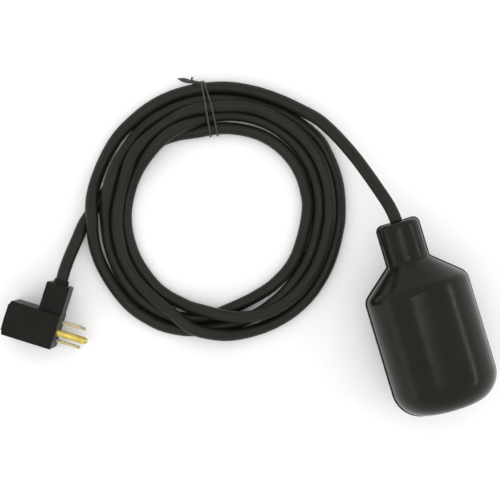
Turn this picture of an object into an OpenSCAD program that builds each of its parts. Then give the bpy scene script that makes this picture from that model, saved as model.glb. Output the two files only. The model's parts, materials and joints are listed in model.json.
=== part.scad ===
// Tethered float switch for a sump, with a coiled cord and a piggyback plug.
// The float lies on its side on z = 0 with its neck towards +Y. The origin is on the
// ground below the middle of the float.

/* [Float] */
// Diameter of the float's body
float_d = 67; // [64:0.5:72]
// Length of the float from its flat bottom to the top of its neck
float_len = 123; // [120:1:130]
// Diameter of the neck
neck_d = 27.2; // [26:0.2:30]
// Length of the neck
neck_len = 26; // [25:0.5:28]
// Length of the conical shoulder, along the axis
shoulder_len = 17; // [16:0.5:18]
// Radius of the rounded bottom edge
bottom_r = 18; // [12:1:20]
// Radius between the shoulder and the body
shoulder_r = 8; // [4:0.5:10]
// Radius in the corner between the shoulder and the neck
neck_root_r = 3; // [2:0.5:4]
// Radius of the neck's top edge
neck_edge_r = 3.5; // [3:0.5:5]
// Thickness of the shell's wall
wall = 2.5; // [2:0.1:2.6]
// How far the weld bead stands out round the seam
bead = 0.8; // [0.4:0.1:1]
// Thickness of the weld bead
bead_w = 2; // [1:0.2:3]

/* [Float inside] */
// Diameter of the steel ball
ball_d = 16; // [15:0.5:16]
// Gap between the ball and its tube, all round
ball_gap = 0.5; // [0.4:0.1:1]
// Wall of the ball tube
tube_wall = 1.7; // [1.2:0.1:2]
// Length of the gland in the neck
gland_len = 12; // [10:0.5:12]

/* [Snap switch] */
// Length of the switch case
switch_len = 27.8; // [27:0.1:28]
// Depth of the switch case, from the plunger's face to the terminals' face
switch_depth = 15.9; // [15.5:0.1:16.5]
// Thickness of the switch case with its cover
switch_w = 10.3; // [10:0.1:10.5]
// Free angle of the lever from the case
lever_rest = 8; // [7.5:0.25:8.5]
// Length of the lever from its pin
lever_len = 26; // [24:0.5:26]

/* [Cord] */
// Diameter of the cord
cord_d = 8; // [7.6:0.1:8.2]
// Radius of the coil's inner edge
coil_inner_r = 54; // [52:0.5:56]
// Radius of the coil's outer edge
coil_outer_r = 86; // [84:0.5:88]
// Height of the wound coil
coil_h = 17; // [16:0.5:20]
// Thickness of the tie's band
tie_t = 0.8; // [0.6:0.1:0.8]
// Width of the tie's band
tie_w = 4; // [3:0.5:6]

/* [Plug] */
// Depth of the plug from the blades' face to the middle of its far end
plug_depth = 34.4; // [34:0.2:36]
// Width of the plug's block along the row of the blades
plug_w = 22.8; // [22:0.2:24]
// Height of the plug's block
plug_h = 28.5; // [28:0.5:30]
// Width of the cord tower
tower_w = 15.4; // [14:0.2:16]
// Height of the cord tower, in Z
tower_h = 20.5; // [18:0.5:22]
// Distance from the block's foot to the end of the tower
tower_top = 41.3; // [40:0.1:43]
// Distance between the two blades
blade_pitch = 12.7; // [12.7:0.1:12.8]
// Length of the blades outside the plug
blade_len = 16; // [15.5:0.1:18]
// Length of the ground pin outside the plug
pin_len = 20.6; // [20:0.1:21]
// Diameter of the ground pin
pin_d = 4.8; // [4.7:0.05:4.85]

/* [Hidden] */
$fn = 96;
cut = 0.01;               // overrun of a cut past a face
far = 200;                // larger than any piece of the float

// Float
float_r = float_d / 2;
neck_r = neck_d / 2;
axis_z = float_r;
float_bottom = -float_len / 2;
neck_top = float_len / 2;
neck_root = neck_top - neck_len;
shoulder_y = neck_root - shoulder_len;
shoulder_a = atan((float_r - neck_r) / shoulder_len);
cavity_r = float_r - wall;
cord_hole_r = cord_d / 2 + 0.3;

// Neck
gland_front = neck_top - wall;
gland_back = gland_front - gland_len;
gland_r = neck_r - wall - 0.1;
ferrule_len = 6;
ferrule_r = cord_d / 2 + 1.4;
jacket_end = gland_back - ferrule_len - 1;
potting_back = 37;
wire_d = 2.6;
wire_off = 2.2;

// Ball tube
ball_r = ball_d / 2;
tube_in = ball_r + ball_gap;
tube_out = tube_in + tube_wall;
tube_front = 1.5;
tube_rear = -46;
cap_t = 2;
cap_spigot = 2;
ball_y = tube_rear + cap_spigot + ball_r + 0.3;
fin_t = 2;
fin_r = cavity_r - 0.2;
collar_w = 2.8;

// Snap switch: u runs along the case (row Z), v runs into the case (row Y)
switch_face = 8;          // row Y of the plunger's face
switch_mid = axis_z + 5;  // row Z of the case's middle
case_wall = 1.5;
cover_t = 2;
room_half = 8.2;          // half length of the room inside the case
hinge_u = 12.2;
hinge_v = -1.6;
hinge_pin_r = 0.6;
hinge_gap = 0.05;
knuckle_r = 1.1;
knuckle_w = 5.6;
ear_t = 1.2;
lever_t = 0.5;
lever_w = 4.2;
plunger_u = 1.9;
plunger_r = 1.2;
plunger_tip = -2.5;
strip_w = 4.8;
strip_t = 0.8;
blade_v = 4;
blade_t = 0.3;
blade_root_u = -7;
contact_u = 5.8;
contact_r = 1.2;
tab_end = 22.2;
screw_r = 1.45;
screw_at = [[-11.1, 2.9], [11.1, 13.2]];
terminal_u = [-7.2, -0.5, 7.75];

// Coil and tie
coil_at = [-108, 100.5];
coil_lift = 0.8;
tie_turn = 80;

// Plug: local X runs out along the blades, local Y runs up the cord tower
plug_at = [-236, 47, 0];
plug_turn = -34;
blade_row = 11.2;         // local Y midway between the blades
blade_z = 8.3;
pin_z = blade_z + 11.9;
blade_half = blade_pitch / 2;
blade_wide = 6.35;
blade_thick = 1.5;
pin_shank_r = 2;          // radius of the ground pin inside the plug
pin_recess = 0.3;         // depth of the recess round the ground pin's shank
socket_r = 2.6;
insert_x = [-plug_depth - 0.2, -3];  // receptacle's face and the inner end
insert_y = [2.5, 20.1];
insert_z = [3, 25.5];
face_t = 3;               // wall at each end of the insert
contact_back = -17;       // local X of the contacts' closed ends
contact_front = -31;
tower_x = -tower_w / 2 + 0.1;
tower_z = plug_h / 2;
bore_end = 31;            // local Y where the cord's jacket ends in the tower
crown = 1.4;              // how far the receptacle's end bulges

// Free routes of the cord, from the neck to the coil and from the tower to the coil
float_route = [
    [0, 60, axis_z], [0, 66, axis_z], [-1, 75, 33], [-3.5, 85, 31], [-7, 96, 28],
    [-11.5, 108, 23.5], [-17, 120, 18.5], [-23.5, 132, 13.5], [-31, 143, 9.5],
    [-40, 153.5, 6.5], [-50, 162.5, 5.2]
];
plug_route = [
    plug_point(tower_x, bore_end, tower_z), plug_point(tower_x, tower_top + 3.5, tower_z),
    [-215.5, 91, 14], [-209.5, 99.5, 12], [-204, 106.5, 9.6], [-199, 113, 7.4],
    [-194.5, 119, 5.6], [-190, 125.5, 4.9]
];

// ---- Helpers ----

function arc(centre, r, from, to, steps = 10) =
    [for (i = [0:steps]) let (a = from + (to - from) * i / steps) centre + r * [cos(a), sin(a)]];

// Half outline of the float, [radius, row Y], moved outwards by d.
function float_outline(d) = concat(
    [[0, float_bottom - d]],
    arc([float_r - bottom_r, float_bottom + bottom_r], bottom_r + d, -90, 0, 16),
    arc([float_r - shoulder_r, shoulder_y - shoulder_r * tan(shoulder_a / 2)], shoulder_r + d,
        0, shoulder_a),
    arc([neck_r + neck_root_r, neck_root + neck_root_r * tan(shoulder_a / 2)], neck_root_r - d,
        180 + shoulder_a, 180, 6),
    arc([neck_r - neck_edge_r, neck_top - neck_edge_r], neck_edge_r + d, 0, 90),
    [[0, neck_top + d]]);

function mirrored(points) = [for (p = points) [-p[0], p[1]]];

function reversed(points) = [for (i = [len(points) - 1:-1:0]) points[i]];

function unit(v) = v / norm(v);

function turned(v, a) = [v[0] * cos(a) - v[1] * sin(a), v[0] * sin(a) + v[1] * cos(a)];

// Row position of a point given in the plug's own axes.
function plug_point(x, y, z) =
    let (flat = turned([x, y], plug_turn)) [plug_at[0] + flat[0], plug_at[1] + flat[1], plug_at[2] + z];

function heading(path, i) = unit(path[min(i + 1, len(path) - 1)] - path[max(i - 1, 0)]);

function ring(centre, along, r, sides) =
    let (side = unit(cross(along, [0, 0, 1])), up = cross(side, along))
    [for (k = [0:sides - 1]) centre + r * (cos(360 * k / sides) * side + sin(360 * k / sides) * up)];

// A round cord swept along a path, with a ring at each of its points.
module sweep(path, r, sides) {
    last = (len(path) - 1) * sides;
    points = [for (i = [0:len(path) - 1]) each ring(path[i], heading(path, i), r, sides)];
    walls = [for (i = [0:len(path) - 2], k = [0:sides - 1])
        let (a = i * sides + k, b = i * sides + (k + 1) % sides)
        each [[a, b, b + sides], [a, b + sides, a + sides]]];
    caps = [[for (k = [sides - 1:-1:0]) k], [for (k = [0:sides - 1]) last + k]];
    polyhedron(points, concat(walls, caps));
}

// Turns a shape made about Z so that its axis is the float's axis.
module on_float_axis() {
    translate([0, 0, axis_z]) rotate([-90, 0, 0]) children();
}

module float_ring(outer, inner, from, to) {
    on_float_axis() translate([0, 0, from]) difference() {
        cylinder(r = outer, h = to - from);
        if (inner > 0) translate([0, 0, -cut]) cylinder(r = inner, h = to - from + 2 * cut);
    }
}

// A box in the switch's axes: across the case (X), into it (v) and along it (u).
module case_box(x, v, u) {
    translate([x[0], switch_face + v[0], switch_mid + u[0]])
        cube([x[1] - x[0], v[1] - v[0], u[1] - u[0]]);
}

// A round pin across the case, along X.
module case_pin(u, v, r, x) {
    translate([x[0], switch_face + v, switch_mid + u]) rotate([0, 90, 0])
        cylinder(r = r, h = x[1] - x[0]);
}

// A round pin into the case, along v.
module case_post(u, r, v) {
    translate([0, switch_face + v[0], switch_mid + u]) rotate([-90, 0, 0])
        cylinder(r = r, h = v[1] - v[0]);
}

module in_plug() {
    translate(plug_at) rotate([0, 0, plug_turn]) children();
}

module plug_box(x, y, z) {
    translate([x[0], y[0], z[0]]) cube([x[1] - x[0], y[1] - y[0], z[1] - z[0]]);
}

// A round piece along the blades' direction.
module plug_rod(x, y, z, r) {
    translate([x[0], y, z]) rotate([0, 90, 0]) cylinder(r = r, h = x[1] - x[0]);
}

// ---- Float shell and neck ----

module shell_half(upper) {
    intersection() {
        difference() {
            union() {
                on_float_axis() rotate_extrude() polygon(float_outline(0));
                translate([0, 0, axis_z - bead_w / 2]) linear_extrude(bead_w)
                    polygon(concat(float_outline(bead), reversed(mirrored(float_outline(bead)))));
            }
            on_float_axis() rotate_extrude() polygon(float_outline(-wall));
            on_float_axis() translate([0, 0, gland_front - cut])
                cylinder(r = cord_hole_r, h = wall + bead + 2 * cut);
        }
        translate([-far / 2, -far / 2, upper ? axis_z : axis_z - far]) cube(far);
    }
}

module float_shell_upper() {
    color("#232421") shell_half(true);
}

module float_shell_lower() {
    color("#232421") shell_half(false);
}

module neck_gland() {
    color("#3a3a3a") on_float_axis() rotate_extrude() polygon([[cord_d / 2, gland_back],
        [gland_r, gland_back], [gland_r, gland_front - 1], [gland_r - 1, gland_front],
        [cord_d / 2, gland_front]]);
}

module cord_end() {
    color("#1c1c1c") float_ring(cord_d / 2, 0, jacket_end, float_route[0][1]);
}

module cord_ferrule() {
    color("silver") float_ring(ferrule_r, cord_d / 2, gland_back - ferrule_len, gland_back);
}

module neck_potting() {
    color("#5a4a2a") difference() {
        float_ring(gland_r, 0, potting_back, gland_back);
        float_ring(ferrule_r, 0, gland_back - ferrule_len, gland_back + cut);
        float_ring(cord_d / 2, 0, jacket_end, gland_back);
        for (side = [-1, 1]) translate([side * wire_off, 0, 0])
            float_ring(wire_d / 2 + 0.1, 0, potting_back - cut, jacket_end + cut);
    }
}

// A conductor from the cord's end to the push-on receptacle of a terminal.
module float_wire(u, side) {
    sweep([[side * wire_off, jacket_end, axis_z], [side * wire_off, potting_back - 0.8, axis_z],
        [side * 1.3, 34.9, (axis_z + switch_mid + u) / 2], [0, 32.8, switch_mid + u]], wire_d / 2, 8);
}

module wire_common() {
    color("white") float_wire(terminal_u[0], -1);
}

module wire_open() {
    color("#202020") float_wire(terminal_u[1], 1);
}

module push_on(u) {
    difference() {
        union() {
            case_box([-3.2, 3.2], [17.2, 23.4], [u - 1.3, u + 1.3]);
            case_post(u, 1.9, [23.4, 25.3]);
        }
        case_box([-strip_w / 2, strip_w / 2], [17.2 - cut, tab_end], [u - strip_t / 2, u + strip_t / 2]);
    }
}

module wire_receptacles() {
    color("gold") for (i = [0, 1]) push_on(terminal_u[i]);
}

// ---- Ball tube and carrier ----

module fins(from, to) {
    for (a = [45:90:315]) on_float_axis() rotate([0, 0, a])
        translate([tube_out + 1, -fin_t / 2, from]) cube([fin_r - tube_out - 1, fin_t, to - from]);
}

module switch_carrier() {
    color("#d8d4c8") difference() {
        union() {
            float_ring(tube_out + collar_w, tube_out, -8, tube_front);
            fins(-8, -2);
            translate([switch_w / 2, tube_front - 4, switch_mid - switch_len / 2])
                cube([3, switch_face + switch_depth - tube_front + 4, switch_len]);
        }
        float_ring(tube_out, 0, -9, tube_front + cut);
        for (at = screw_at) case_pin(at[0], at[1], screw_r, [switch_w / 2 - 1, switch_w / 2 + 4]);
    }
}

module rear_support() {
    color("#d8d4c8") {
        float_ring(tube_out + collar_w, tube_out, -42, -37);
        fins(-42, -37);
    }
}

module ball_tube() {
    color("#e8e6df") float_ring(tube_out, tube_in, tube_rear, tube_front);
}

module tube_cap() {
    color("#d8d4c8") {
        float_ring(tube_out, 0, tube_rear - cap_t, tube_rear);
        float_ring(tube_in, 0, tube_rear - cut, tube_rear + cap_spigot);
    }
}

module steel_ball() {
    color("silver") translate([0, ball_y, axis_z]) sphere(r = ball_r);
}

// ---- Snap switch ----

module hinge_ear(side) {
    x = side * (knuckle_w / 2 + 0.4 + ear_t / 2);
    case_box([x - ear_t / 2, x + ear_t / 2], [hinge_v - 1.2, cut], [hinge_u - 1.3, hinge_u + 1.3]);
}

module hinge_hole() {
    case_pin(hinge_u, hinge_v, hinge_pin_r, [-switch_w / 2, switch_w / 2]);
}

module switch_base() {
    half = switch_w / 2;
    color("#202024") difference() {
        union() {
            case_box([cover_t - half, half], [0, switch_depth], [-switch_len / 2, switch_len / 2]);
            hinge_ear(1);
        }
        case_box([cover_t - half - cut, half - case_wall], [case_wall, switch_depth - case_wall],
            [-room_half, room_half]);
        case_post(plunger_u, plunger_r + 0.05, [-cut, case_wall + cut]);
        hinge_hole();
        for (at = screw_at) case_pin(at[0], at[1], screw_r + 0.1, [-half, half + 1]);
        for (u = terminal_u) case_box([-strip_w / 2, strip_w / 2],
            [switch_depth - case_wall - cut, switch_depth + cut], [u - strip_t / 2, u + strip_t / 2]);
    }
}

module switch_cover() {
    half = switch_w / 2;
    color("#2c2c32") difference() {
        union() {
            case_box([-half, cover_t - half], [0, switch_depth], [-switch_len / 2, switch_len / 2]);
            hinge_ear(-1);
        }
        hinge_hole();
        for (at = screw_at) case_pin(at[0], at[1], screw_r + 0.1, [-half - 1, half]);
    }
}

module switch_plunger() {
    color("#b01818") {
        case_post(plunger_u, plunger_r, [plunger_tip, case_wall + 0.3]);
        case_post(plunger_u, 1.8, [case_wall + 0.2, blade_v - 0.3]);
    }
}

module actuator_lever() {
    color("silver") translate([0, switch_face + hinge_v, switch_mid + hinge_u]) rotate([-lever_rest, 0, 0])
        difference() {
            union() {
                rotate([0, 90, 0]) cylinder(r = knuckle_r, h = knuckle_w, center = true);
                translate([-lever_w / 2, -lever_t / 2, -lever_len]) cube([lever_w, lever_t, lever_len]);
            }
            rotate([0, 90, 0]) cylinder(r = hinge_pin_r + hinge_gap, h = knuckle_w + 1, center = true);
        }
}

module lever_pin() {
    reach = knuckle_w / 2 + 0.4 + ear_t;
    color("gray") case_pin(hinge_u, hinge_v, hinge_pin_r, [-reach, reach]);
}

module snap_blade() {
    color("#c87f3c") {
        case_box([-2, 2], [blade_v, blade_v + blade_t], [blade_root_u - 0.8, contact_u + contact_r + 0.2]);
        case_post(contact_u, contact_r, [blade_v - 0.6, blade_v + blade_t + 0.6]);
    }
}

// The leg of a terminal, from inside the case out to its tab.
module terminal_leg(u, from) {
    case_box([-strip_w / 2, strip_w / 2], [from, tab_end], [u - strip_t / 2, u + strip_t / 2]);
}

module common_terminal() {
    color("gold") terminal_leg(terminal_u[0], blade_v + blade_t + 0.3);
}

module open_terminal() {
    shelf = blade_v + blade_t + 0.6 + 2.2;
    color("gold") {
        terminal_leg(terminal_u[1], shelf);
        case_box([-2, 2], [shelf, shelf + strip_t], [terminal_u[1], contact_u + contact_r]);
    }
}

module closed_terminal() {
    shelf = blade_v - 0.6 - 0.3 - strip_t;
    color("gold") {
        terminal_leg(terminal_u[2], shelf);
        case_box([-2, 2], [shelf, shelf + strip_t], [contact_u - contact_r, terminal_u[2]]);
    }
}

module switch_screws() {
    color("silver") for (at = screw_at) {
        case_pin(at[0], at[1], screw_r, [-switch_w / 2 - cut, switch_w / 2 + 3]);
        case_pin(at[0], at[1], 2.75, [-switch_w / 2 - 2, -switch_w / 2]);
    }
}

// ---- Cord ----

module cord_float_side() {
    color("#1c1c1c") sweep(float_route, cord_d / 2, 12);
}

module cord_plug_side() {
    color("#1c1c1c") sweep(plug_route, cord_d / 2, 12);
}

module cord_coil() {
    edge = 4;
    low = coil_lift;
    high = coil_lift + coil_h;
    color("#1c1c1c") translate([coil_at[0], coil_at[1], 0]) rotate_extrude() polygon(concat(
        arc([coil_outer_r - edge, low + edge], edge, -90, 0, 4),
        arc([coil_outer_r - edge, high - edge], edge, 0, 90, 4),
        arc([coil_inner_r + edge, high - edge], edge, 90, 180, 4),
        arc([coil_inner_r + edge, low + edge], edge, 180, 270, 4)));
}

module twist_tie() {
    high = coil_lift + coil_h;
    knot_x = coil_outer_r + 3;
    tail_len = 17;
    color("#55554f") translate([coil_at[0], coil_at[1], 0]) rotate([0, 0, tie_turn]) {
        difference() {
            translate([coil_inner_r - tie_t - 0.2, -tie_w / 2, 0])
                cube([coil_outer_r - coil_inner_r + 2 * tie_t + 0.4, tie_w, high + tie_t]);
            translate([coil_inner_r - 0.2, -tie_w / 2 - cut, tie_t])
                cube([coil_outer_r - coil_inner_r + 0.4, tie_w + 2 * cut, high - tie_t]);
        }
        translate([coil_outer_r + tie_t, 0, high / 2]) rotate([0, 90, 0]) cylinder(r = 1.8, h = 3.4);
        for (a = [62, 78]) translate([knot_x, 0, high / 2 - tie_t / 2]) rotate([0, 0, a])
            translate([0, -tie_w / 4, 0]) cube([tail_len, tie_w / 2, tie_t]);
    }
}

// ---- Plug ----

module plug_body() {
    back_r = (pow(plug_w / 2, 2) + crown * crown) / (2 * crown);
    back_a = asin(plug_w / 2 / back_r);
    color("#20211f") in_plug() difference() {
        union() {
            linear_extrude(plug_h) polygon(concat([[0, 0], [0, plug_w]],
                arc([back_r - plug_depth, plug_w / 2], back_r, 180 - back_a, 180 + back_a)));
            plug_box([-tower_w, 0], [plug_w - 1, tower_top],
                [tower_z - tower_h / 2, tower_z + tower_h / 2]);
        }
        plug_box([-plug_depth - 2, insert_x[1]], insert_y, insert_z);
        translate([tower_x, bore_end, tower_z]) rotate([-90, 0, 0]) cylinder(r = cord_d / 2, h = 20);
        translate([tower_x, insert_y[1] - cut, tower_z]) rotate([-90, 0, 0])
            cylinder(r = 3.4, h = bore_end - insert_y[1] + 2 * cut);
        for (side = [-1, 1]) blade_shape(side, [insert_x[1] - cut, 1]);
        plug_rod([insert_x[1] - cut, 1], blade_row, pin_z, pin_shank_r);
        plug_rod([-pin_recess, 1], blade_row, pin_z, pin_d / 2 + 0.05);
    }
}

module plug_collar() {
    color("#20211f") in_plug() translate([tower_x, tower_top, tower_z]) rotate([-90, 0, 0]) difference() {
        cylinder(r1 = cord_d / 2 + 1.2, r2 = cord_d / 2 + 0.7, h = 3);
        translate([0, 0, -cut]) cylinder(r = cord_d / 2, h = 4);
    }
}

module blade_shape(side, x) {
    y = blade_row + side * blade_half;
    plug_box(x, [y - blade_thick / 2, y + blade_thick / 2],
        [blade_z - blade_wide / 2, blade_z + blade_wide / 2]);
}

module receptacle_insert() {
    color("#2a2b29") in_plug() difference() {
        plug_box(insert_x, insert_y, insert_z);
        // room for the connections, open towards the tower
        plug_box([-16, insert_x[1] - face_t], [4, insert_y[1] + cut], [4.6, 24]);
        // pockets of the contacts, and the slots in front of them
        for (side = [-1, 1]) let (y = blade_row + side * blade_half) {
            plug_box([insert_x[0] + face_t, -15], [y - 1.9, y + 1.9], [blade_z - 3.7, blade_z + 3.7]);
            plug_box([insert_x[0] - cut, insert_x[0] + face_t + cut], [y - 1, y + 1],
                [blade_z - (side < 0 ? 4.25 : 3.5), blade_z + (side < 0 ? 4.25 : 3.5)]);
            blade_shape(side, [insert_x[1] - face_t - cut, insert_x[1] + cut]);
        }
        plug_rod([insert_x[0] - cut, insert_x[0] + face_t + cut], blade_row, pin_z, socket_r);
        plug_rod([insert_x[0] + face_t, -15], blade_row, pin_z, 3.5);
        plug_rod([insert_x[1] - face_t - cut, insert_x[1] + cut], blade_row, pin_z, pin_shank_r);
    }
}

// A flat blade with bevelled corners, a hole near its tip and a tail inside the plug.
module blade(side, tail) {
    y = blade_row + side * blade_half;
    bevel = 1.6;
    half = blade_wide / 2;
    color("#c9b46a") in_plug() translate([0, y + blade_thick / 2, blade_z]) rotate([90, 0, 0])
        linear_extrude(blade_thick) difference() {
            polygon([[tail, -half], [blade_len - bevel, -half], [blade_len, bevel - half],
                [blade_len, half - bevel], [blade_len - bevel, half], [tail, half]]);
            translate([blade_len - 4.3, 0]) circle(r = 1.6);
        }
}

module line_blade() {
    blade(1, -10);
}

module neutral_blade() {
    blade(-1, contact_back);
}

module ground_pin() {
    tip = 2;
    color("#d9b93c") in_plug() {
        plug_rod([0, pin_len - tip], blade_row, pin_z, pin_d / 2);
        plug_rod([contact_back, cut], blade_row, pin_z, pin_shank_r);
        plug_rod([-9, insert_x[1] - face_t], blade_row, pin_z, 3.2);
        translate([pin_len - tip, blade_row, pin_z]) rotate([0, 90, 0])
            cylinder(r1 = pin_d / 2, r2 = pin_d / 2 - 1.2, h = tip);
    }
}

// A sprung contact that grips a blade: two leaves joined at the back.
module leaf_contact(side) {
    y = blade_row + side * blade_half;
    color("#c87f3c") in_plug() {
        for (leaf = [-1.15, 1.15]) plug_box([contact_front, contact_back],
            [y + leaf - 0.3, y + leaf + 0.3], [blade_z - 3, blade_z + 3]);
        plug_box([contact_back - 0.6, contact_back], [y - 1.45, y + 1.45], [blade_z - 3, blade_z + 3]);
    }
}

module line_contact() {
    leaf_contact(1);
}

module neutral_contact() {
    leaf_contact(-1);
}

module ground_contact() {
    color("#c87f3c") in_plug() difference() {
        plug_rod([contact_front, contact_back], blade_row, pin_z, 3.2);
        plug_rod([contact_front - 1, contact_back - 1], blade_row, pin_z, 2.5);
        plug_box([contact_front - 1, contact_back - 3], [blade_row - 0.6, blade_row + 0.6],
            [pin_z, pin_z + 4]);
    }
}

// A conductor through points given in the plug's own axes.
module plug_wire(points) {
    sweep([for (p = points) plug_point(p[0], p[1], p[2])], wire_d / 2, 8);
}

module feed_wire() {
    y = blade_row + blade_half;
    color("#202020") plug_wire([[tower_x - 1.5, bore_end, tower_z - 0.3],
        [tower_x - 1.5, 27, tower_z - 0.3], [tower_x - 0.9, 20.8, tower_z - 1.3],
        [tower_x - 1, y - 0.6, tower_z - 0.8], [tower_x - 1.2, y - 2, blade_z + 3.7],
        [tower_x - 1.3, y - 2, blade_z - 1]]);
}

module return_wire() {
    y = blade_row + blade_half;
    color("white") plug_wire([[tower_x + 1.5, bore_end, tower_z + 0.6],
        [tower_x + 1.5, 27, tower_z + 0.6], [tower_x + 0.3, 21.6, tower_z + 1.6],
        [-8.6, 19, tower_z + 2], [-12.5, y, tower_z + 1], [-15.75, y, blade_z + 2]]);
}

float_shell_upper();
float_shell_lower();
neck_gland();
cord_end();
cord_ferrule();
neck_potting();
wire_common();
wire_open();
wire_receptacles();
switch_carrier();
rear_support();
ball_tube();
tube_cap();
steel_ball();
switch_base();
switch_cover();
switch_plunger();
actuator_lever();
lever_pin();
snap_blade();
common_terminal();
open_terminal();
closed_terminal();
switch_screws();
cord_float_side();
cord_coil();
cord_plug_side();
twist_tie();
plug_body();
plug_collar();
receptacle_insert();
line_blade();
neutral_blade();
ground_pin();
line_contact();
neutral_contact();
ground_contact();
feed_wire();
return_wire();
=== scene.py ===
"""Tethered float switch: float, coiled cord and piggyback plug. Metres, in the row frame."""

import math

import bmesh
import bpy
import numpy as np
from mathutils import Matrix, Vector
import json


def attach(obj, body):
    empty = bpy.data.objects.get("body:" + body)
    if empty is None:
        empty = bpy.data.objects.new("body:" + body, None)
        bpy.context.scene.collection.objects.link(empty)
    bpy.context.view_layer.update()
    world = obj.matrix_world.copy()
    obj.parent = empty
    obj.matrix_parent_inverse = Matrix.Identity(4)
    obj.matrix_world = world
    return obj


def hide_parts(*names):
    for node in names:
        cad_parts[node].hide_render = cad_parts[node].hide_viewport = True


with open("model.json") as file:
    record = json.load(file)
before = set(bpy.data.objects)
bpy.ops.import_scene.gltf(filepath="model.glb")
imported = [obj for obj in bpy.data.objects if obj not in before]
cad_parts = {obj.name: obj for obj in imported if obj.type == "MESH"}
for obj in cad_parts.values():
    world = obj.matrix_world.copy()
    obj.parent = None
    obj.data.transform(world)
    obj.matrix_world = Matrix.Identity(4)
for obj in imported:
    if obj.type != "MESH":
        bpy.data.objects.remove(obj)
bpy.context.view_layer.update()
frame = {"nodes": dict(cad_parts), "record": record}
scene = bpy.context.scene
MM = 0.001

# ---- Sizes and places, in millimetres, as in the CAD source ----

FLOAT_R = 33.5
FLOAT_HALF = 61.5
NECK_R = 13.6
NECK_ROOT = 35.5
SHOULDER_Y = 18.5
BOTTOM_R = 18.0
SHOULDER_R = 8.0
NECK_ROOT_R = 3.0
NECK_EDGE_R = 3.5
WALL = 2.5
AXIS_Z = 33.5
CORD_HOLE_R = 4.3

CORD_D = 8.0
COIL_AT = (-108.0, 100.5)
VIEW_TURN = 16.7  # degrees; the winding's angles are stated from the camera's own right-hand side

PLUG_AT = (-236.0, 47.0)
PLUG_TURN = math.radians(-34)
PLUG_DEPTH = 34.4
PLUG_W = 22.8
PLUG_H = 28.5
TOWER_W = 15.4
TOWER_H = 20.5
TOWER_TOP = 41.3
TOWER_X = -7.6
TOWER_Z = 14.25
CROWN = 1.4


def plug_point(x, y, z):
    """Row position, in mm, of a point in the plug's own axes."""
    c, s = math.cos(PLUG_TURN), math.sin(PLUG_TURN)
    return (PLUG_AT[0] + x * c - y * s, PLUG_AT[1] + x * s + y * c, z)


# ---- Camera, straight above ----

camera_data = bpy.data.cameras.new("camera")
camera_data.lens = 92.2
camera_data.sensor_width = 36
camera = bpy.data.objects.new("camera", camera_data)
camera.location = (-0.0945, 0.0714, 0.85)
camera.rotation_euler = (0, 0, math.radians(-VIEW_TURN))
scene.collection.objects.link(camera)
scene.camera = camera

# ---- Mesh helpers ----


def add_mesh(name, verts, faces, smooth=True):
    """A new object from points in metres."""
    mesh = bpy.data.meshes.new(name)
    mesh.from_pydata([tuple(v) for v in verts], [], faces)
    mesh.validate()
    bm = bmesh.new()
    bm.from_mesh(mesh)
    bmesh.ops.remove_doubles(bm, verts=bm.verts, dist=1e-7)
    bmesh.ops.recalc_face_normals(bm, faces=bm.faces)
    bm.to_mesh(mesh)
    bm.free()
    for face in mesh.polygons:
        face.use_smooth = smooth
    obj = bpy.data.objects.new(name, mesh)
    scene.collection.objects.link(obj)
    return obj


def smooth_by_angle(obj, degrees):
    """Smooth shading with sharp edges wherever faces meet at more than this angle."""
    bm = bmesh.new()
    bm.from_mesh(obj.data)
    for face in bm.faces:
        face.smooth = True
    for edge in bm.edges:
        if len(edge.link_faces) == 2:
            edge.smooth = edge.calc_face_angle(0) < math.radians(degrees)
    bm.to_mesh(obj.data)
    bm.free()


def apply_modifiers(obj):
    """Replaces the object's mesh with what its modifiers make of it."""
    graph = bpy.context.evaluated_depsgraph_get()
    mesh = bpy.data.meshes.new_from_object(obj.evaluated_get(graph))
    obj.modifiers.clear()
    old = obj.data
    obj.data = mesh
    bpy.data.meshes.remove(old)


def tube(name, path, radius, sides=12, closed=False):
    """A round tube along points in metres; radius may be one number or one for each point."""
    path = [Vector(p) for p in path]
    count = len(path)
    radii = radius if hasattr(radius, "__len__") else [radius] * count
    verts, faces = [], []
    side = None
    for i, point in enumerate(path):
        before = path[(i - 1) % count] if closed or i else point
        after = path[(i + 1) % count] if closed or i < count - 1 else point
        along = (after - before).normalized()
        if side is None:
            side = along.cross(Vector((0, 0, 1)))
            if side.length < 0.1:
                side = along.cross(Vector((1, 0, 0)))
        side = (side - along * side.dot(along)).normalized()
        up = side.cross(along)
        for k in range(sides):
            a = 2 * math.pi * k / sides
            verts.append(point + radii[i] * (math.cos(a) * side + math.sin(a) * up))
    for i in range(count if closed else count - 1):
        j = (i + 1) % count
        for k in range(sides):
            m = (k + 1) % sides
            faces.append((i * sides + k, i * sides + m, j * sides + m, j * sides + k))
    if not closed:
        faces.append(tuple(range(sides - 1, -1, -1)))
        faces.append(tuple(range((count - 1) * sides, count * sides)))
    return add_mesh(name, verts, faces)


def smooth_path(points, step):
    """A smooth curve through points, with a point about every step."""
    pts = np.array(points, float)
    ends = np.vstack([2 * pts[0] - pts[1], pts, 2 * pts[-1] - pts[-2]])
    out = []
    for i in range(1, len(ends) - 2):
        p0, p1, p2, p3 = ends[i - 1 : i + 3]
        n = max(1, int(round(np.linalg.norm(p2 - p1) / step)))
        for k in range(n):
            t = k / n
            out.append(
                0.5
                * (
                    2 * p1
                    + (p2 - p0) * t
                    + (2 * p0 - 5 * p1 + 4 * p2 - p3) * t * t
                    + (3 * p1 - p0 - 3 * p2 + p3) * t**3
                )
            )
    out.append(pts[-1])
    return np.array(out)


# ---- Cord: one piece from the float's neck, round the coil, to the plug's tower ----

FLOOR_Z = CORD_D / 2  # height of the cord's centreline where it lies on the ground
TIE_T = 1.3
TIE_ANGLE = 79  # row angle of the tie, seen from the coil's middle

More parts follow.
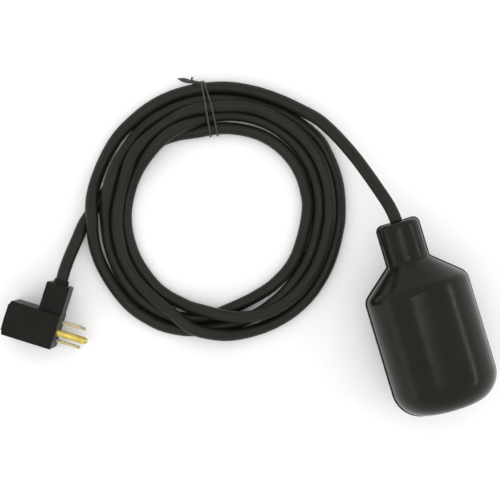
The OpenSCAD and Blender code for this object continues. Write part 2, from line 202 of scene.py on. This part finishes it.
FLOAT_ROUTE = [
    (0, 60, 33.5), (-0.1, 65, 33.5), (-1.6, 74, 33), (-4.6, 84.6, 31), (-8, 96, 28),
    (-11.8, 108, 23.5), (-16.4, 120, 18.5), (-22, 132, 14.5), (-29.2, 143, 12),
]
PLUG_ROUTE = [
    (-194.8, 119.2, 5.6), (-199.4, 113.2, 7.4), (-204.5, 106.8, 9.6), (-210, 99.7, 12),
    (-215.8, 91.2, 14), plug_point(TOWER_X, TOWER_TOP + 3.5, TOWER_Z),
    plug_point(TOWER_X, TOWER_TOP, TOWER_Z), plug_point(TOWER_X, 31, TOWER_Z),
]

# Each turn: (angle in degrees, radius, height above the floor in cord diameters)
TURNS = [
    [(60, 84.4, 1), (75, 82.2, 0.5), (90, 81.2, 0), (115, 81.6, 0), (135, 82.7, 0), (150, 83, 0.2),
     (168, 82.8, 0.8),
     (188, 83.4, 0.8), (205, 84, 0.2), (225, 84, 0), (240, 82.1, 0), (250, 79.9, 0), (259, 77.7, 0),
     (270, 75.3, 0), (280, 73.4, 0), (290, 71.7, 0), (300, 70.1, 0), (312, 68.8, 0), (330, 67.5, 0),
     (345, 67.1, 0)],
    [(0, 67.2, 0), (10, 68.4, 0), (20, 69.3, 0), (30, 69.6, 0), (45, 69.1, 0), (60, 68.3, 0),
     (75, 66.8, 0), (90, 64.8, 0.2), (110, 62.6, 0.7), (125, 61.2, 1), (150, 60.7, 1),
     (180, 61.4, 0.4), (205, 62.2, 0.3), (230, 63.6, 0.6), (250, 64, 1), (262, 65, 1.1),
     (275, 67.6, 1.1), (287, 70.8, 1.1), (297, 72.6, 1.1), (308, 73.3, 1), (320, 73.4, 1), (335, 73.2, 0.8),
     (350, 73.6, 0.7)],
    [(0, 74.3, 0.7), (15, 75, 0.7), (30, 75.5, 0.7), (45, 75.2, 0.7), (60, 74.4, 0.6),
     (75, 73, 0.4), (95, 70.1, 0.3), (110, 68.4, 0.4), (130, 66.8, 0.6), (150, 66.4, 1),
     (175, 66.2, 0.8), (200, 67.1, 0.5), (212, 68.4, 0.5), (224, 69.2, 0.7), (234, 70, 0.9),
     (245, 72, 1.1), (252, 74.8, 1.1), (259, 77.6, 1.1), (270, 78.8, 0.8), (280, 79.9, 0.4),
     (292, 80.8, 0.1), (305, 81.3, 0), (318, 81.2, 0), (330, 80.4, 0), (340, 79.6, 0), (352, 79.4, 0)],
    [(0, 79.9, 0), (15, 81.1, 0), (30, 82, 0), (40, 81.8, 0), (60, 78.8, 0), (80, 76.8, 0),
     (100, 76.2, 0), (120, 76, 0), (133, 75.3, 0.3), (148, 72.8, 0.9), (162, 72.4, 1), (175, 73.2, 0.6),
     (190, 73.9, 0.2), (200, 74.7, 0), (212, 75.3, 0), (225, 75.6, 0), (238, 75.4, 0),
     (249, 74, 0), (257, 71.7, 0), (264, 68.8, 0), (271, 65.8, 0), (278, 63.2, 0),
     (285, 61.5, 0), (295, 60.2, 0), (310, 59.6, 0), (330, 59.3, 0)],
    [(0, 59.7, 0), (15, 60.3, 0), (30, 60.7, 0), (45, 60.3, 0), (60, 59.3, 0), (75, 57.7, 0),
     (90, 56.9, 0), (105, 57.7, 0), (120, 59.8, 0), (132, 62, 0), (148, 66, 0), (161, 70.5, 0),
     (168, 74.2, 0), (174, 78.7, 0), (178, 82.1, 0)],
]


def coil_points():
    """Points of the winding in mm, through the stated angles and radii."""
    out = []
    for turn in TURNS:
        for angle, radius, level in turn:
            a = math.radians(angle - VIEW_TURN)
            out.append((COIL_AT[0] + radius * math.cos(a), COIL_AT[1] + radius * math.sin(a),
                        FLOOR_Z + level * CORD_D))
    return out


def even_path(points, step):
    """The same line with its points a step apart."""
    gaps = np.linalg.norm(np.diff(points, axis=0), axis=1)
    along = np.concatenate([[0], np.cumsum(gaps)])
    at = np.linspace(0, along[-1], int(round(along[-1] / step)) + 1)
    return np.column_stack([np.interp(at, along, points[:, k]) for k in range(3)])


def ground_under(path):
    """Lowest height of the cord's centreline: the ground, or the tie's band where that lies under it."""
    angle = np.degrees(np.arctan2(path[:, 1] - COIL_AT[1], path[:, 0] - COIL_AT[0]))
    near = np.clip(1 - np.abs(angle - TIE_ANGLE) / 14, 0, 1)
    return FLOOR_Z + TIE_T * near * near * (3 - 2 * near)


def settle(path, step, rounds):
    """Pushes strands that share space apart, mostly upwards, and lets the rest lie down."""
    home = path.copy()
    ground = ground_under(path)
    push_weight = np.array([0.35, 0.35, 1.0])
    n = len(path)
    index = np.arange(n)
    reach = int(3 * CORD_D / step)
    far = np.abs(index[:, None] - index[None, :]) > reach
    held = np.zeros(n)
    fixed = int(75 / step)
    held[:fixed] = 1
    held[-int(62 / step):] = 1
    free = (1 - held)[:, None]
    stiff = np.array([0.12, 0.12, 0.3])
    for round_no in range(rounds):
        last = round_no > rounds * 0.8
        push = np.zeros_like(path)
        gap = path[:, None, :] - path[None, :, :]
        size = np.sqrt((gap**2).sum(-1)) + 1e-9
        close = far & (size < CORD_D)
        i, j = np.nonzero(close)
        if len(i):
            amount = (CORD_D - size[i, j]) / size[i, j] * 0.5
            move = gap[i, j] * amount[:, None]
            np.add.at(push, i, move * push_weight)
            count = np.zeros(n)
            np.add.at(count, i, 1)
            push /= np.maximum(count, 1)[:, None] ** 0.5
        path = path + push * free
        # seen from above the line keeps its stated shape: only what was added to it is smoothed
        moved = path.copy()
        moved[:, :2] -= home[:, :2]
        middle = np.zeros_like(path)
        middle[1:-1] = (moved[:-2] + moved[2:]) / 2 - moved[1:-1]
        path = path + middle * stiff * free
        pull = 0.004 if last else 0.02
        path[:, :2] += (home[:, :2] - path[:, :2]) * pull * free
        path[:, 2] -= (0.01 if last else 0.03) * free[:, 0]
        path[:, 2] = np.maximum(path[:, 2], ground)
    return path


STEP = 3.2
raw = even_path(smooth_path(FLOAT_ROUTE + coil_points() + PLUG_ROUTE, STEP), STEP)
cord_path = settle(raw, STEP, 420)

cord = tube("cord", cord_path * MM, CORD_D / 2 * MM, 28)
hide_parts("cord_float_side", "cord_coil", "cord_plug_side")
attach(cord, "root")

# ---- Twist tie: one wire twice round the bundle, its ends twisted together outside it ----

TIE_R = TIE_T / 2


def strands_at(angle):
    """Where the cord passes through the upright plane at this row angle: distance out and height."""
    flat = cord_path[:, :2] - np.array(COIL_AT)
    turn = (np.degrees(np.arctan2(flat[:, 1], flat[:, 0])) - angle + 180) % 360 - 180
    out = np.hypot(flat[:, 0], flat[:, 1])
    found = []
    for i in range(len(turn) - 1):
        if turn[i] * turn[i + 1] <= 0 and abs(turn[i] - turn[i + 1]) < 20 and out[i] < 95:
            t = turn[i] / (turn[i] - turn[i + 1])
            found.append((out[i] + t * (out[i + 1] - out[i]),
                          cord_path[i, 2] + t * (cord_path[i + 1, 2] - cord_path[i, 2])))
    return found


def around(angle, phi):
    """A point of the taut loop round the strands at this angle, where its outside faces phi."""
    n = (math.cos(math.radians(phi)), math.sin(math.radians(phi)))
    held = max(strands_at(angle), key=lambda c: c[0] * n[0] + c[1] * n[1])
    reach = CORD_D / 2 + TIE_R
    return held[0] + reach * n[0], held[1] + reach * n[1]


def coil_place(out, angle, z):
    """Row position of a point at this distance and row angle from the coil's middle."""
    a = math.radians(angle)
    return (COIL_AT[0] + out * math.cos(a), COIL_AT[1] + out * math.sin(a), z)


def half_loop(start_phi, outer_angle, inner_angle):
    """Half a loop: over the bundle from outside to inside (0), or back under it (180)."""
    outer, _ = around(outer_angle, 0)
    inner, _ = around(inner_angle, 180)
    points = []
    for k in range(37):
        phi = start_phi + 5 * k
        angle = (outer_angle + inner_angle) / 2
        for _ in range(3):
            out, z = around(angle, phi)
            share = min(max((outer - out) / (outer - inner), 0), 1)
            angle = outer_angle + share * (inner_angle - outer_angle)
        points.append(coil_place(out, angle, max(z, TIE_R)))
    return points


def seen(x, y, z):
    """Row position of a point stated from the coil's middle along the camera's own axes."""
    a = math.radians(-VIEW_TURN)
    return (COIL_AT[0] + x * math.cos(a) - y * math.sin(a),
            COIL_AT[1] + x * math.sin(a) + y * math.cos(a), z)


knot_in = np.array(seen(-12.0, 85.9, 5.4))
knot_out = np.array(seen(-16.2, 86.6, 6.2))
loops = half_loop(0, 80.4, 78.6) + half_loop(180, 79.6, 78.6)[1:]
loops += half_loop(0, 79.4, 73.4)[1:] + half_loop(180, 81.6, 73.4)[1:]


def twisted(start_angle):
    """One of the two strands of the knot, wound round the line between the knot's ends."""
    along = knot_out - knot_in
    side = np.cross(along, (0, 0, 1))
    side /= np.linalg.norm(side)
    up = np.cross(side, along)
    up /= np.linalg.norm(up)
    strand = []
    for k in range(25):
        a = math.radians(start_angle + 30 * k)
        strand.append(knot_in + along * k / 24 + 0.72 * (math.cos(a) * side + math.sin(a) * up))
    return strand


first_end = [*twisted(0), np.array(seen(-17.2, 88.0, 7.2)), np.array(seen(-16.6, 89.6, 8.0))]
wire = smooth_path(np.vstack([first_end[::-1], loops, twisted(180)]), 0.8)
tie_wire = tube("tie_wire", wire * MM, TIE_R * MM, 10)

# The leaf's outline: distance along it and half its width
LEAF = [(0.0, 0.7), (1.2, 0.9), (2.6, 1.25), (4.6, 1.5), (6.6, 1.4), (8.4, 0.95), (9.8, 0.4),
        (10.6, 0.08)]


def tie_leaf(name, start, tip, thick):
    """The wire's flat plastic edge where its end has untwisted: a thin leaf that narrows to a point."""
    along = np.array(tip) - np.array(start)
    length = np.linalg.norm(along)
    along /= length
    side = np.cross(along, (0, 0, 1))
    side /= np.linalg.norm(side)
    up = np.cross(side, along)
    verts, faces = [], []
    for k, (d, half) in enumerate(LEAF):
        lean = math.radians(28 - 5 * k)
        across = math.cos(lean) * side + math.sin(lean) * up
        top = np.cross(across, along)
        middle = np.array(start) + along * d * length / LEAF[-1][0]
        for u, t in ((-1, 0), (-0.35, 0.5), (0, 1), (0.35, 0.5), (1, 0), (0, -0.6)):
            verts.append((middle + across * u * half + top * t * thick) * MM)
    for i in range(len(LEAF) - 1):
        for k in range(6):
            m = (k + 1) % 6
            faces.append((i * 6 + k, i * 6 + m, i * 6 + 6 + m, i * 6 + 6 + k))
    faces.append(tuple(range(6)))
    faces.append(tuple(range(len(verts) - 6, len(verts))))
    obj = add_mesh(name, verts, faces)
    smooth_by_angle(obj, 35)
    return obj


tie_tail = tie_leaf("tie_tail", seen(-16.0, 86.4, 6.2), seen(-26.7, 88.8, 7.4), 0.3)
for piece in (tie_wire, tie_tail):
    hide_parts("twist_tie")
    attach(piece, "root")

# ---- Float: two shell halves and the weld bead round their seam ----


def arc(centre, radius, start, end, steps):
    """Points along an arc; the angles are in degrees."""
    return [(centre[0] + radius * math.cos(math.radians(start + (end - start) * i / steps)),
             centre[1] + radius * math.sin(math.radians(start + (end - start) * i / steps)))
            for i in range(steps + 1)]


def float_outline(d, detail=1):
    """Half outline of the float from the bottom's middle to the neck's hole, moved out by d."""
    slope = math.degrees(math.atan((FLOAT_R - NECK_R) / (NECK_ROOT - SHOULDER_Y)))
    half = math.tan(math.radians(slope / 2))
    line = [(r, -FLOAT_HALF - d) for r in (0.0, 3.0, 7.0, 11.0, FLOAT_R - BOTTOM_R - 1)]
    line += arc((FLOAT_R - BOTTOM_R, -FLOAT_HALF + BOTTOM_R), BOTTOM_R + d, -90, 0, 22 * detail)
    body_end = SHOULDER_Y - SHOULDER_R * half
    line += [(FLOAT_R + d, -FLOAT_HALF + BOTTOM_R + (body_end + FLOAT_HALF - BOTTOM_R) * k / 16)
             for k in range(1, 16)]
    line += arc((FLOAT_R - SHOULDER_R, body_end), SHOULDER_R + d, 0, slope, 12 * detail)
    line += arc((NECK_R + NECK_ROOT_R, NECK_ROOT + NECK_ROOT_R * half), NECK_ROOT_R - d,
                180 + slope, 180, 8 * detail)
    line += [(NECK_R + d, NECK_ROOT + 3 + (FLOAT_HALF - NECK_EDGE_R - NECK_ROOT - 3) * k / 6)
             for k in range(1, 6)]
    line += arc((NECK_R - NECK_EDGE_R, FLOAT_HALF - NECK_EDGE_R), max(NECK_EDGE_R + d, 0.6),
                0, 90, 10 * detail)
    line.append((CORD_HOLE_R, FLOAT_HALF + d))
    return line


def shell_half(name, sign):
    """Half of the float's shell: outer and inner skins joined at the seam and at the neck's hole."""
    outer = float_outline(0)
    inner = float_outline(-WALL)
    loop = outer + inner[::-1]
    steps = 64
    verts, faces = [], []
    for i in range(steps + 1):
        a = math.pi * i / steps
        for r, y in loop:
            verts.append((r * math.cos(a) * MM, y * MM, (AXIS_Z + sign * r * math.sin(a)) * MM))
    m = len(loop)
    for i in range(steps):
        for k in range(m - 1):
            faces.append((i * m + k, i * m + k + 1, (i + 1) * m + k + 1, (i + 1) * m + k))
    for base in (0, steps * m):
        for k in range(len(outer) - 1):
            faces.append((base + k, base + k + 1, base + m - 2 - k, base + m - 1 - k))
    obj = add_mesh(name, verts, faces)
    smooth_by_angle(obj, 40)
    return obj


# The bead's section: height over the shell and distance from the seam
BEAD_SECTION = [(-0.4, -1.0), (0.3, -1.0), (0.62, -0.82), (0.78, -0.45), (0.8, 0.0),
                (0.78, 0.45), (0.62, 0.82), (0.3, 1.0), (-0.4, 1.0)]


def weld_bead(name):
    """The flattened bead that runs along the seam, from one side of the neck's hole to the other."""
    offsets = sorted({d for d, _ in BEAD_SECTION})
    lines = {}
    for d in offsets:
        right = float_outline(d, 2)
        lines[d] = [(-r, y) for r, y in reversed(right)] + right[1:]
    count = len(lines[offsets[0]])
    verts, faces = [], []
    for i in range(count):
        for d, z in BEAD_SECTION:
            x, y = lines[d][i]
            verts.append((x * MM, y * MM, (AXIS_Z + z) * MM))
    m = len(BEAD_SECTION)
    for i in range(count - 1):
        for k in range(m):
            n = (k + 1) % m
            faces.append((i * m + k, i * m + n, (i + 1) * m + n, (i + 1) * m + k))
    faces.append(tuple(range(m)))
    faces.append(tuple(range((count - 1) * m, count * m)))
    obj = add_mesh(name, verts, faces)
    smooth_by_angle(obj, 50)
    return obj


upper = shell_half("float_upper", 1)
lower = shell_half("float_lower", -1)
bead = weld_bead("weld_bead")
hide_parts("float_shell_upper")
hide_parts("float_shell_lower")
for piece in (upper, lower, bead):
    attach(piece, "root")

# ---- Plug ----


def rounded_box(name, low, high, bevel, segments=4):
    """A box in the plug's own axes, in mm, with rounded edges."""
    bm = bmesh.new()
    bmesh.ops.create_cube(bm, size=1)
    for v in bm.verts:
        v.co = Vector([(low[k] + high[k]) / 2 + v.co[k] * (high[k] - low[k]) for k in range(3)])
    if bevel:
        bmesh.ops.bevel(bm, geom=list(bm.edges), offset=bevel, segments=segments, affect="EDGES",
                        profile=0.5)
    mesh = bpy.data.meshes.new(name)
    bm.to_mesh(mesh)
    bm.free()
    obj = bpy.data.objects.new(name, mesh)
    scene.collection.objects.link(obj)
    return obj


def block(name):
    """The plug's block, whose receptacle end bulges slightly."""
    radius = ((PLUG_W / 2) ** 2 + CROWN**2) / (2 * CROWN)
    reach = math.degrees(math.asin(PLUG_W / 2 / radius))
    outline = [(0, 0), (0, PLUG_W)]
    outline += arc((radius - PLUG_DEPTH, PLUG_W / 2), radius, 180 - reach, 180 + reach, 12)
    verts = [(x, y, z) for z in (0, PLUG_H) for x, y in outline]
    m = len(outline)
    faces = [tuple(range(m - 1, -1, -1)), tuple(range(m, 2 * m))]
    faces += [(k, (k + 1) % m, (k + 1) % m + m, k + m) for k in range(m)]
    return add_mesh(name, verts, faces, smooth=False)


def boolean(obj, other, operation):
    """Joins or cuts a mesh with another, which is then removed."""
    modifier = obj.modifiers.new("cut", "BOOLEAN")
    modifier.operation = operation
    modifier.object = other
    modifier.solver = "EXACT"
    apply_modifiers(obj)
    bpy.data.objects.remove(other, do_unlink=True)


def to_row(obj):
    """Moves a mesh made in the plug's own axes, in mm, to its place in the row frame."""
    for v in obj.data.vertices:
        v.co = Vector(plug_point(*v.co)) * MM


plug = block("plug_moulding")
boolean(plug, rounded_box("tower", (-TOWER_W, PLUG_W - 6, TOWER_Z - TOWER_H / 2),
                          (0, TOWER_TOP, TOWER_Z + TOWER_H / 2), 0), "UNION")
boolean(plug, rounded_box("ridge", (-20.4, 7.5, PLUG_H - 1), (-19.6, 13.5, PLUG_H + 0.35), 0), "UNION")
remesh = plug.modifiers.new("remesh", "REMESH")
remesh.mode = "VOXEL"
remesh.voxel_size = 0.42
relax = plug.modifiers.new("relax", "SMOOTH")
relax.factor = 0.5
relax.iterations = 8
apply_modifiers(plug)
# the window for the receptacle's hard insert, which lies just below the end's crown
boolean(plug, rounded_box("window", (-PLUG_DEPTH - 3, 2.5, 3), (-PLUG_DEPTH + 8, 20.1, 25.5), 0),
        "DIFFERENCE")
smooth_by_angle(plug, 45)
to_row(plug)
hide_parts("plug_body")
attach(plug, "root")

# ---- Materials ----


def surface(name, dark, light, rough, metallic=0.0, scale=60.0, bump=0.1, bump_scale=900.0,
            bump_size=0.0003, specular=0.5, stretch=(1, 1, 1), coat=0.0, coat_rough=0.1):
    """A moulded or metal surface: mottled colour, uneven gloss and a fine relief."""
    mat = bpy.data.materials.new(name)
    mat.use_nodes = True
    nodes, links = mat.node_tree.nodes, mat.node_tree.links
    shader = nodes["Principled BSDF"]
    shader.inputs["Metallic"].default_value = metallic
    shader.inputs["Specular IOR Level"].default_value = specular
    shader.inputs["Coat Weight"].default_value = coat
    shader.inputs["Coat Roughness"].default_value = coat_rough
    place = nodes.new("ShaderNodeTexCoord")
    mapping = nodes.new("ShaderNodeMapping")
    mapping.inputs["Scale"].default_value = stretch
    links.new(place.outputs["Object"], mapping.inputs["Vector"])

    def noise(size, detail):
        node = nodes.new("ShaderNodeTexNoise")
        node.inputs["Scale"].default_value = size
        node.inputs["Detail"].default_value = detail
        links.new(mapping.outputs["Vector"], node.inputs["Vector"])
        return node.outputs["Fac"]

    mottle = nodes.new("ShaderNodeValToRGB")
    mottle.color_ramp.elements[0].position = 0.3
    mottle.color_ramp.elements[0].color = (*dark, 1)
    mottle.color_ramp.elements[1].position = 0.7
    mottle.color_ramp.elements[1].color = (*light, 1)
    links.new(noise(scale, 4), mottle.inputs["Fac"])
    links.new(mottle.outputs["Color"], shader.inputs["Base Color"])

    gloss = nodes.new("ShaderNodeMapRange")
    gloss.inputs["From Min"].default_value = 0.3
    gloss.inputs["From Max"].default_value = 0.7
    gloss.inputs["To Min"].default_value = rough[0]
    gloss.inputs["To Max"].default_value = rough[1]
    links.new(noise(scale * 2.3, 3), gloss.inputs["Value"])
    links.new(gloss.outputs["Result"], shader.inputs["Roughness"])

    relief = nodes.new("ShaderNodeBump")
    relief.inputs["Strength"].default_value = bump
    relief.inputs["Distance"].default_value = bump_size
    links.new(noise(bump_scale, 3), relief.inputs["Height"])
    links.new(relief.outputs["Normal"], shader.inputs["Normal"])
    return mat


LOOKS = {
    "shell_black": dict(dark=(0.0068, 0.0068, 0.0038), light=(0.01, 0.0098, 0.006), rough=(0.17, 0.24),
                        specular=0.15, scale=45, bump=0.22, bump_scale=420, bump_size=0.0004),
    "cord_black": dict(dark=(0.009, 0.009, 0.0055), light=(0.0135, 0.013, 0.0085), rough=(0.36, 0.48),
                       specular=0.19, scale=50, bump=0.15, bump_scale=1500),
    "gland_rubber": dict(dark=(0.05, 0.05, 0.05), light=(0.07, 0.07, 0.068), rough=(0.6, 0.75)),
    "resin": dict(dark=(0.13, 0.085, 0.035), light=(0.19, 0.13, 0.06), rough=(0.1, 0.2)),
    "wire_white": dict(dark=(0.74, 0.74, 0.7), light=(0.83, 0.83, 0.8), rough=(0.4, 0.5)),
    "wire_black": dict(dark=(0.025, 0.025, 0.025), light=(0.04, 0.04, 0.04), rough=(0.4, 0.5)),
    "natural_plastic": dict(dark=(0.7, 0.67, 0.57), light=(0.8, 0.78, 0.69), rough=(0.4, 0.5)),
    "tube_plastic": dict(dark=(0.76, 0.75, 0.69), light=(0.85, 0.84, 0.79), rough=(0.15, 0.25)),
    "ball_steel": dict(dark=(0.58, 0.58, 0.59), light=(0.66, 0.66, 0.67), rough=(0.05, 0.1),
                       metallic=1, bump=0.02),
    "spring_steel": dict(dark=(0.5, 0.5, 0.49), light=(0.62, 0.62, 0.61), rough=(0.25, 0.35),
                         metallic=1, stretch=(8, 1, 1)),
    "screw_steel": dict(dark=(0.48, 0.48, 0.47), light=(0.6, 0.6, 0.59), rough=(0.3, 0.4),
                        metallic=1),
    "case_phenolic": dict(dark=(0.035, 0.03, 0.028), light=(0.055, 0.048, 0.045), rough=(0.4, 0.5)),
    "cover_phenolic": dict(dark=(0.05, 0.045, 0.042), light=(0.07, 0.063, 0.06), rough=(0.4, 0.5)),
    "button_red": dict(dark=(0.42, 0.02, 0.018), light=(0.55, 0.04, 0.03), rough=(0.2, 0.3)),
    "contact_brass": dict(dark=(0.68, 0.5, 0.22), light=(0.8, 0.64, 0.33), rough=(0.25, 0.35),
                          metallic=1),
    "contact_bronze": dict(dark=(0.58, 0.33, 0.15), light=(0.7, 0.45, 0.24), rough=(0.25, 0.35),
                           metallic=1),
    "tie_grey": dict(dark=(0.018, 0.017, 0.013), light=(0.047, 0.043, 0.035), rough=(0.4, 0.55),
                     scale=400, bump=0.3),
    "plug_black": dict(dark=(0.004, 0.0041, 0.0026), light=(0.007, 0.0068, 0.0046), rough=(0.4, 0.52),
                       specular=0.13, scale=90, bump=0.3, bump_scale=1300),
    "insert_black": dict(dark=(0.009, 0.009, 0.008), light=(0.014, 0.014, 0.012), rough=(0.3, 0.4)),
    "blade_brass": dict(dark=(0.26, 0.21, 0.11), light=(0.5, 0.42, 0.24), rough=(0.28, 0.42),
                        metallic=1, scale=300, bump=0.2),
    "pin_brass": dict(dark=(0.4, 0.3, 0.06), light=(0.68, 0.55, 0.16), rough=(0.22, 0.34),
                      metallic=1, scale=250, bump=0.08, bump_scale=500),
}
MATERIALS = {slot: surface(slot, **look) for slot, look in LOOKS.items()}

for row in frame["record"]["subparts"]:
    node = frame["nodes"][row["node"]]
    node.data.materials.clear()
    node.data.materials.append(MATERIALS[row["material_slot"]])
for piece, look in ((cord, "cord_black"), (upper, "shell_black"), (lower, "shell_black"),
                    (bead, "shell_black"), (plug, "plug_black"), (tie_wire, "tie_grey"),
                    (tie_tail, "tie_grey")):
    piece.data.materials.clear()
    piece.data.materials.append(MATERIALS[look])

# ---- Floor and light ----

floor = add_mesh("floor", [(-3, -3, 0), (3, -3, 0), (3, 3, 0), (-3, 3, 0)], [(0, 1, 2, 3)])
floor_mat = surface("floor_white", (0.93, 0.93, 0.93), (0.95, 0.95, 0.95), (0.85, 0.95),
                    scale=3, bump=0.02, bump_scale=60, specular=0.1)
floor.data.materials.append(floor_mat)

FLOAT_MID = Vector((0, 0, AXIS_Z * MM))


def area_light(name, place, aim, size, power):
    """A rectangular light at a place, turned toward a point."""
    data = bpy.data.lights.new(name, "AREA")
    data.shape = "RECTANGLE"
    data.size, data.size_y = size
    data.energy = power
    obj = bpy.data.objects.new(name, data)
    obj.location = place
    toward = (Vector(aim) - Vector(place)).normalized()
    obj.rotation_euler = toward.to_track_quat("-Z", "Y").to_euler()
    scene.collection.objects.link(obj)
    return obj


area_light("overhead", (-0.22, 0.0, 1.5), (-0.1, 0.05, 0.0), (0.2, 0.9), 1.9)
area_light("right_strip", (0.95, -0.15, 0.46), FLOAT_MID, (0.9, 0.03), 1.7)
area_light("left_wall", (-1.4, 0.1, 0.25), (-0.1, 0.05, 0.02), (1.4, 0.4), 1.3)

world = bpy.data.worlds.new("studio")
world.use_nodes = True
world.node_tree.nodes["Background"].inputs["Color"].default_value = (1, 1, 1, 1)
world.node_tree.nodes["Background"].inputs["Strength"].default_value = 1.12
scene.world = world
scene.view_settings.view_transform = "Standard"

bpy.context.view_layer.update()
